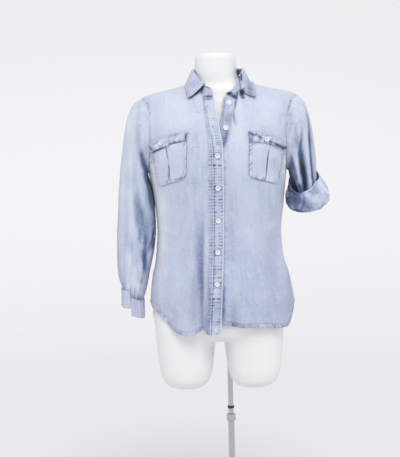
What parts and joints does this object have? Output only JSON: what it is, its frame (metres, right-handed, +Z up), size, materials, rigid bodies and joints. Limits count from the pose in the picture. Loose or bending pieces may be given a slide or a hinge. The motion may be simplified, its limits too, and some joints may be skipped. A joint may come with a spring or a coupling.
{
  "type": "denim shirt on a limbless dress form and stand",
  "caption": "Light denim button-front shirt with chest flap pockets, collar open and a sleeve turned up, worn by a white limbless dress form on a pole with a round base.",
  "frame": {"origin": "on the floor, on the base's underside, straight below the middle of the form", "axes": "+Z up, along the pole; the shirt's front faces -Y; +X is the wearer's left"},
  "size_m": [0.557, 0.4105, 1.4],
  "materials": {
    "denim": "matt washed light-blue cotton denim",
    "denim_band": "matt, the same denim doubled, puckered and a little darker",
    "pearl_button": "glossy white with a pearl sheen",
    "form_shell": "white, satin",
    "stand_metal": "satin grey metal",
    "stand_rubber": "matt black"
  },
  "bodies": {
    "root": {"back": "denim", "band_left": "denim_band", "band_right": "denim_band", "button_1": "pearl_button", "button_2": "pearl_button", "button_3": "pearl_button", "button_4": "pearl_button", "button_5": "pearl_button", "button_6": "pearl_button", "button_7": "pearl_button", "collar": "denim", "collar_stand": "denim", "cuff_right": "denim_band", "display_form": "form_shell", "front_left": "denim", "front_right": "denim", "pocket_button_left": "pearl_button", "pocket_button_right": "pearl_button", "pocket_flap_left": "denim_band", "pocket_flap_right": "denim_band", "pocket_left": "denim", "pocket_right": "denim", "sleeve_left": "denim", "sleeve_left_turn_up": "denim", "sleeve_right_cap": "denim", "sleeve_right_elbow": "denim", "sleeve_right_end": "denim", "sleeve_right_top": "denim", "stand_base": "stand_metal", "stand_clamp": "stand_metal", "stand_foot": "stand_metal", "stand_inner_tube": "stand_metal", "stand_lower_sleeve": "stand_metal", "stand_outer_tube": "stand_metal", "stand_ring": "stand_rubber"}
  },
  "joints": []
}
